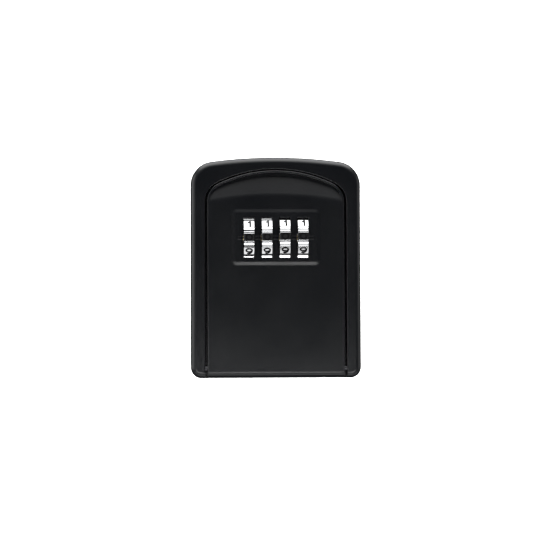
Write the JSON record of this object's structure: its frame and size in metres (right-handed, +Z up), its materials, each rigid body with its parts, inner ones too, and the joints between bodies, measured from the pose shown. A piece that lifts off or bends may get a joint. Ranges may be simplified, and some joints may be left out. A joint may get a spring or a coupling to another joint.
{
  "type": "key safe",
  "caption": "Wall-mounted key box with an arched, bottom-hinged door that number wheels in a raised panel lock.",
  "frame": {"origin": "centre of the flat back face that lies against the wall", "axes": "+Y into the wall, so the door faces -Y; +Z up; +X to the viewer's right when facing the door"},
  "size_m": [0.0926, 0.0396, 0.12],
  "materials": {
    "black_paint": "satin",
    "black_cover": "satin",
    "chrome_wheel": "polished",
    "steel": "satin",
    "zinc": "satin",
    "brass": "satin"
  },
  "bodies": {
    "housing": {"body_housing": "black_paint", "hinge_pin_left": "steel", "hinge_pin_right": "steel", "strike_plate": "steel", "strike_screw_left": "steel", "strike_screw_right": "steel"},
    "door": {"door_panel": "black_paint", "lock_cover": "black_cover", "cover_screw_1": "steel", "cover_screw_2": "steel", "cover_screw_3": "steel", "cover_screw_4": "steel", "detent_spring": "steel", "detent_rivet_left": "zinc", "detent_rivet_right": "zinc", "latch_spring_left": "steel", "latch_spring_right": "steel"},
    "wheel_1": {"dial_wheel_1": "chrome_wheel"},
    "wheel_2": {"dial_wheel_2": "chrome_wheel"},
    "wheel_3": {"dial_wheel_3": "chrome_wheel"},
    "wheel_4": {"dial_wheel_4": "chrome_wheel"},
    "code_change": {"wheel_axle": "steel", "axle_clip_left": "zinc", "axle_clip_right": "zinc", "lever_clip": "zinc", "change_lever": "zinc"},
    "sleeve_1": {"code_sleeve_1": "brass"},
    "sleeve_2": {"code_sleeve_2": "brass"},
    "sleeve_3": {"code_sleeve_3": "brass"},
    "sleeve_4": {"code_sleeve_4": "brass"},
    "latch": {"latch_bolt": "zinc", "locking_comb": "steel", "comb_rivet_left": "zinc", "comb_rivet_right": "zinc"}
  },
  "joints": [
    {"name": "door_hinge", "type": "hinge", "parent": "housing", "child": "door", "pos_m": [0, -0.0303, -0.0548], "axis": [1, 0, 0], "range_deg": [0, 95]},
    {"name": "wheel_1_turn", "type": "hinge", "parent": "door", "child": "wheel_1", "pos_m": [-0.01465, -0.0271, 0.016], "axis": [1, 0, 0], "continuous": true, "deforming": ["detent_spring"]},
    {"name": "wheel_2_turn", "type": "hinge", "parent": "door", "child": "wheel_2", "pos_m": [-0.00488, -0.0271, 0.016], "axis": [1, 0, 0], "continuous": true},
    {"name": "wheel_3_turn", "type": "hinge", "parent": "door", "child": "wheel_3", "pos_m": [0.00488, -0.0271, 0.016], "axis": [1, 0, 0], "continuous": true},
    {"name": "wheel_4_turn", "type": "hinge", "parent": "door", "child": "wheel_4", "pos_m": [0.01465, -0.0271, 0.016], "axis": [1, 0, 0], "continuous": true},
    {"name": "change_slide", "type": "slide", "parent": "door", "child": "code_change", "axis": [1, 0, 0], "range_m": [0, 0.0016]},
    {"name": "sleeve_1_turn", "type": "hinge", "parent": "code_change", "child": "sleeve_1", "pos_m": [-0.01465, -0.0271, 0.016], "axis": [1, 0, 0], "continuous": true},
    {"name": "sleeve_2_turn", "type": "hinge", "parent": "code_change", "child": "sleeve_2", "pos_m": [-0.00488, -0.0271, 0.016], "axis": [1, 0, 0], "continuous": true},
    {"name": "sleeve_3_turn", "type": "hinge", "parent": "code_change", "child": "sleeve_3", "pos_m": [0.00488, -0.0271, 0.016], "axis": [1, 0, 0], "continuous": true},
    {"name": "sleeve_4_turn", "type": "hinge", "parent": "code_change", "child": "sleeve_4", "pos_m": [0.01465, -0.0271, 0.016], "axis": [1, 0, 0], "continuous": true},
    {"name": "latch_slide", "type": "slide", "parent": "door", "child": "latch", "axis": [0, 0, 1], "range_m": [0, 0.0028], "stiffness_N_per_m": 300, "springref_m": 0.0055, "deforming": ["latch_spring_left", "latch_spring_right"]}
  ],
  "couplings": [
    {"joint": "sleeve_1_turn", "follows": "wheel_1_turn", "ratio": 1},
    {"joint": "sleeve_2_turn", "follows": "wheel_2_turn", "ratio": 1},
    {"joint": "sleeve_3_turn", "follows": "wheel_3_turn", "ratio": 1},
    {"joint": "sleeve_4_turn", "follows": "wheel_4_turn", "ratio": 1}
  ]
}
